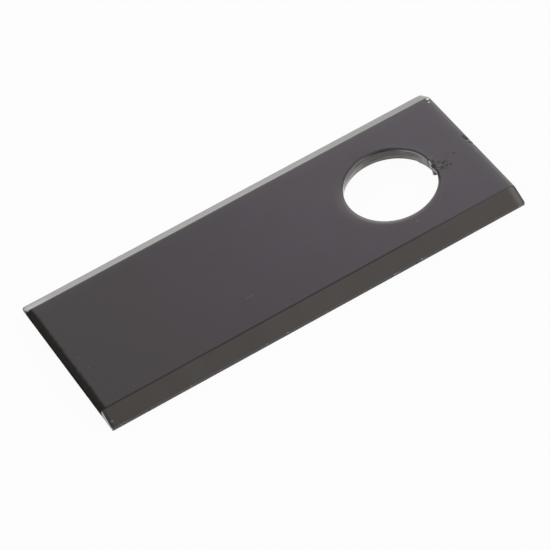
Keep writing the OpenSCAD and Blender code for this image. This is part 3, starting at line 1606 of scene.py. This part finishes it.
    def raise_relief(self, piece: bpy.types.Object) -> None:
        """Raises the flat net to the bar's form and gives each skin its finish.

        Args:
            piece: The object that holds the flat net.
        """
        bar = self.bar
        sizes = {
            "Tip": bar.tip, "End": bar.end, "Half thickness": bar.half_thick,
            "Hole radius": bar.hole, "Bevel width": bar.bevel_width, "Edge land": bar.edge_land,
            "Roll width": bar.roll_width, "Roll depth": bar.roll_depth,
            "Bevel roll width": bar.bevel_roll_width, "Bevel roll depth": bar.bevel_roll_depth,
            "Sag width": bar.sag_width, "Sag depth": bar.sag_depth,
            "Dish width": bar.dish_width, "Dish depth": bar.dish_depth,
            "Seam depth": bar.seam_depth, "Fracture depth": self.fracture_depth,
        }
        inputs = {key: "NodeSocketFloat" for key in sizes}
        inputs |= {skin.name: "NodeSocketMaterial" for skin in Skin}
        tree = ShapeTree("bar_relief", inputs)
        plan_x, plan_y, _ = tree.split(tree.attribute("plan", "FLOAT_VECTOR"))
        height = self.top_height(tree, plan_x, plan_y)
        x, y, _ = tree.split(tree.field("GeometryNodeInputPosition"))
        floor = -tree.given("Half thickness")
        lifted = tree.join(x, y, floor + tree.attribute("lift", "FLOAT") * (height - floor))
        sockets = {"Geometry": tree.given("Geometry"), "Position": lifted}
        shape = self.roughen(tree, tree.field("GeometryNodeSetPosition", None, sockets))
        skin_of = tree.attribute("skin", "INT")
        tree.close(shape, [(tree.equal(skin_of, skin.value), tree.given(skin.name)) for skin in Skin])
        tree.grow(piece, sizes | {skin.name: self.materials[skin] for skin in Skin})

    @staticmethod
    def rolled_drop(inset: Field, width: Field, depth: Field) -> Field:
        """How far an edge that the shear drew down lies below the face.

        Args:
            inset: Distance in from the edge.
            width: How far in the roll reaches.
            depth: How deep it is at the edge.

        Returns:
            The drop, along an arc that meets the face smoothly.
        """
        radius = (width * width + depth * depth) / (2.0 * depth)
        reach = (width - inset).within(0.0, width)
        return radius - (radius * radius - reach * reach).sqrt()

    def top_height(self, tree: ShapeTree, x: Field, y: Field) -> Field:
        """The height of the top face, bevels, rolled edges and wear.

        Args:
            tree: The tree.
            x: Place along the bar.
            y: Place across the bar.

        Returns:
            The height above the middle of the bar.
        """
        top = tree.given("Half thickness")
        width = tree.given("Bevel width")
        place = (x / MM, y / MM)
        beside = self.bar.beside(tree, *place) * MM
        slope = (2.0 * top - tree.given("Edge land")) / width
        height = tree.math("SMOOTH_MIN", top, top - slope * beside, self.bevel_blend)
        height = height - tree.given("Seam depth") * self.bar.seam(tree, *place)
        to_end = (x - tree.given("Tip")).least(tree.given("End") - x)
        flat_roll = self.rolled_drop(to_end, tree.given("Roll width"), tree.given("Roll depth"))
        bevel_roll = self.rolled_drop(to_end, tree.given("Bevel roll width"), tree.given("Bevel roll depth"))
        on_bevel = beside.step(0.0, self.bevel_roll_fade)
        by_near_tip = (-x).step(0.0, MM) * (-y).step(0.0, MM)
        bevel_roll = bevel_roll * (1.0 - (1.0 - self.bar.near_tip_roll) * by_near_tip)
        height = height - flat_roll * (1.0 - on_bevel) - bevel_roll * on_bevel
        sag = self.rolled_drop(tree.given("End") - x, tree.given("Sag width"), tree.given("Sag depth"))
        radius = (x * x + y * y).sqrt()
        way = (x / radius, y / radius)
        off_rim = radius - tree.given("Hole radius") - self.bar.pulled(*way)
        height = height - sag - self.rolled_drop(off_rim, *self.bar.rim(*way))
        dished = self.bar.facing(*way, self.bar.dish_angle) ** self.dish_focus + self.least_dish
        dish = self.rolled_drop(off_rim, tree.given("Dish width"), tree.given("Dish depth") * dished)
        height = height - dish - self.cleft(x, y, off_rim)
        for mark in TORN_RIM + END_DENT_AND_SHADE + SPECKS_AND_GLINTS:
            height = height - mark.mask(*place) * (mark.depth * MM)
        height = height - SCUFF.crumple(tree, place, self.bar.seed) * MM
        return height.least(self.dent(tree, x, y))

    def cleft(self, x: Field, y: Field, off_rim: Field) -> Field:
        """The tear that runs from the hole's rim into the top face.

        Args:
            x: Place along the bar.
            y: Place across the bar.
            off_rim: Distance out from the hole's rim.

        Returns:
            The depth of the tear.
        """
        turn = math.radians(self.cleft_angle)
        sideways = abs(y * math.cos(turn) - x * math.sin(turn))
        half = self.cleft_half * (1.0 - off_rim / self.cleft_length)
        deep = (half - sideways).most(0.0) * self.cleft_steepness
        return deep * x.step(0.0, MM)

    def dent(self, tree: ShapeTree, x: Field, y: Field) -> Field:
        """The dent in the rolled edge of the pivot end.

        Args:
            tree: The tree.
            x: Place along the bar.
            y: Place across the bar.

        Returns:
            The height of the dent's floor, above the face away from it.
        """
        bar = self.bar
        drop = bar.roll_depth + bar.dent_depth
        rise = drop / bar.dent_reach
        bow = drop / (bar.dent_length / 2) ** 2
        off = y - bar.dent_offset
        return tree.given("Half thickness") - drop + (tree.given("End") - x) * rise + off * off * bow

    def roughen(self, tree: ShapeTree, shape: Field) -> Field:
        """Crumbles the broken part of the cut walls.

        Args:
            tree: The tree.
            shape: The raised bar.

        Returns:
            The bar with crumbled walls.
        """
        spot = tree.field("GeometryNodeInputPosition")
        waves = tuple(each / MM for each in self.crumb_waves_mm)
        crumbs = tree.noise(tree.stretched(spot, waves), detail=3.0) - self.crumb_level
        push = crumbs * tree.attribute("fracture", "FLOAT") * tree.given("Fracture depth")
        offset = tree.scaled(tree.field("GeometryNodeInputNormal"), push)
        return tree.field("GeometryNodeSetPosition", None, {"Geometry": shape, "Offset": offset})

    def nick_edges(self, piece: bpy.types.Object) -> None:
        """Cuts the nicks out of both cutting edges.

        Args:
            piece: The raised bar.
        """
        bar = self.bar
        low = -bar.half_thick + self.nick_lift * bar.edge_land
        spots = [(x * MM, -bar.half_width, low) for x, _ in self.nick_places]
        spots += [(x * MM, bar.half_width, low) for x, _ in self.far_nick_places]
        seeds = bpy.data.meshes.new("edge_nicks")
        seeds.from_pydata(spots, [], [])
        sizes = [size * MM for _, size in self.nick_places + self.far_nick_places]
        seeds.attributes.new("size", "FLOAT", "POINT").data.foreach_set("value", sizes)
        cutters = placed("edge_nicks", seeds)
        tree = ShapeTree("edge_nicks", {"Seed": "NodeSocketInt", "Steel": "NodeSocketMaterial"})
        seed = tree.given("Seed")
        form = tree.random(self.nick_least, self.nick_most, seed)
        sockets = {
            "Points": tree.given("Geometry"),
            "Instance": tree.field("GeometryNodeMeshIcoSphere", None, {"Radius": 1.0, "Subdivisions": 2}),
            "Rotation": tree.random((0.0,) * 3, (math.tau,) * 3, seed),
            "Scale": tree.scaled(form, tree.attribute("size", "FLOAT")),
        }
        shape = tree.field("GeometryNodeInstanceOnPoints", None, sockets)
        tree.close(shape, [(True, tree.given("Steel"))])
        tree.grow(cutters, {"Seed": int(bar.seed), "Steel": self.materials[Skin.CHIPPED]})
        cut = piece.modifiers.new("nicks", "BOOLEAN")
        cut.object = cutters
        cut.solver = "EXACT"
        cut.material_mode = "TRANSFER"
        settle(piece)
        bpy.data.objects.remove(cutters)

    def smooth(self, piece: bpy.types.Object) -> None:
        """Shades the piece smooth, with its true edges kept sharp.

        Args:
            piece: The finished bar.
        """
        mesh = piece.data
        mesh.shade_smooth()
        mesh.set_sharp_from_angle(angle=math.radians(self.sharp_angle))
        mesh.validate()


@dataclass(frozen=True)
class SoftBox:
    """A square soft light that faces the object and isn't seen itself."""

    name: str
    place: Triple
    side: float
    watts: float

    def hang(self) -> None:
        """Hangs the light."""
        lamp = bpy.data.lights.new(self.name, "AREA")
        lamp.shape = "SQUARE"
        lamp.size = self.side
        lamp.energy = self.watts
        held = bpy.data.objects.new(self.name, lamp)
        held.location = self.place
        held.rotation_euler = Vector(self.place).to_track_quat("Z", "Y").to_euler()
        held.visible_camera = False
        bpy.context.scene.collection.objects.link(held)


@dataclass
class Studio:
    """A pale floor, a soft sky that is brighter behind the object, two soft boxes and the camera.

    Lengths are in metres, angles in degrees, and the lens and its sensor in millimetres.
    """

    floor_height: float
    azimuth: float = -19.49
    elevation: float = 46.35
    roll: float = -14.18
    distance: float = 629.0 * MM
    aim: Triple = (-30.77 * MM, -5.69 * MM, 0.0)
    lens: float = 205.33
    sensor: float = 36.0
    sky_plain: float = 0.62
    sky_bright: float = 1.02
    sky_dim: float = 0.30
    bright_side: Triple = (0.45, 0.88, 0.10)
    bright_span: Point = (0.6, 1.0)
    dim_side: Triple = (-0.20, -0.85, 0.45)
    dim_span: Point = (0.57, 0.94)
    floor_tone: float = 0.90
    floor_glow: float = 0.95
    floor_half: float = 3.0
    floor_gap: float = 0.02 * MM
    boxes: tuple[SoftBox, ...] = (
        SoftBox("back_box", (0.36, 0.40, 0.30), 0.45, 0.33),
        SoftBox("top_box", (0.28, -0.22, 0.60), 0.50, 0.36),
    )

    def build(self) -> None:
        """Sets up the floor, the light and the camera."""
        bpy.context.scene.view_settings.view_transform = "Standard"
        self.floor()
        self.sky()
        for box in self.boxes:
            box.hang()
        self.camera()

    def floor(self) -> None:
        """Lays the floor: white from above and in reflections, taking the shadow, and clear from below."""
        half = self.floor_half
        height = self.floor_height - self.floor_gap
        mesh = bpy.data.meshes.new("floor")
        corners = [(-half, -half), (half, -half), (half, half), (-half, half)]
        mesh.from_pydata([(x, y, height) for x, y in corners], [], [(0, 1, 2, 3)])
        floor = placed("floor", mesh)
        paper = bpy.data.materials.new("floor_paper")
        graph = emptied(paper)
        path = graph.node("ShaderNodeLightPath")
        seen = Field(graph, path.outputs["Is Camera Ray"])
        for kind in ("Is Glossy Ray", "Is Transmission Ray"):
            seen = seen.most(Field(graph, path.outputs[kind]))
        matt = graph.node("ShaderNodeBsdfDiffuse", None, {"Color": (*[self.floor_tone] * 3, 1.0)})
        glow = graph.node("ShaderNodeEmission", None, {"Color": (1.0, 1.0, 1.0, 1.0), "Strength": 1.0})
        sockets = {0: seen * self.floor_glow, 1: matt.outputs[0], 2: glow.outputs[0]}
        mixed = graph.node("ShaderNodeMixShader", None, sockets)
        below = graph.field("ShaderNodeNewGeometry", None, None, "Backfacing")
        clear = graph.node("ShaderNodeBsdfTransparent")
        sockets = {0: below, 1: mixed.outputs[0], 2: clear.outputs[0]}
        sided = graph.node("ShaderNodeMixShader", None, sockets)
        graph.node("ShaderNodeOutputMaterial", None, {0: sided.outputs[0]})
        mesh.materials.append(paper)

    def sky(self) -> None:
        """Makes the soft sky, brighter behind the object and dimmer on the camera's side."""
        world = bpy.data.worlds.new("studio")
        graph = emptied(world)
        way = graph.field("ShaderNodeTexCoord", None, None, "Generated")
        strength = self.sky_plain
        sides = (
            (self.bright_side, self.bright_span, self.sky_bright),
            (self.dim_side, self.dim_span, self.sky_dim),
        )
        for side, span, level in sides:
            sockets = {0: way, 1: Vector(side).normalized()}
            towards = graph.field("ShaderNodeVectorMath", {"operation": "DOT_PRODUCT"}, sockets, "Value")
            strength = strength + (level - self.sky_plain) * towards.step(*span)
        sockets = {"Color": (1.0, 1.0, 1.0, 1.0), "Strength": strength}
        light = graph.node("ShaderNodeBackground", None, sockets)
        graph.node("ShaderNodeOutputWorld", None, {0: light.outputs[0]})
        bpy.context.scene.world = world

    def camera(self) -> None:
        """Places the camera at the photo's angle."""
        azimuth, elevation, roll = (math.radians(each) for each in (self.azimuth, self.elevation, self.roll))
        back = Vector((
            math.sin(azimuth) * math.cos(elevation),
            -math.cos(azimuth) * math.cos(elevation),
            math.sin(elevation),
        ))
        level = Vector((math.cos(azimuth), math.sin(azimuth), 0.0))
        upright = back.cross(level)
        right = level * math.cos(roll) + upright * math.sin(roll)
        up = upright * math.cos(roll) - level * math.sin(roll)
        lens = bpy.data.cameras.new("camera")
        lens.lens = self.lens
        lens.sensor_width = self.sensor
        camera = bpy.data.objects.new("camera", lens)
        turn = Matrix((right, up, back)).transposed().to_4x4()
        camera.matrix_world = Matrix.Translation(Vector(self.aim) + back * self.distance) @ turn
        bpy.context.scene.collection.objects.link(camera)
        bpy.context.scene.camera = camera


def main() -> None:
    """Builds the studio and the blade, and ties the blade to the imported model."""
    logging.basicConfig(level=logging.INFO, format="%(name)s: %(message)s")
    Studio(cad_box[0].z).build()
    piece = Blade(BarSizes.packed()).build()
    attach(piece, "root")
    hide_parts("blade")
    log.info("%s: %d faces", piece.name, len(piece.data.polygons))


if __name__ == "__main__":
    main()
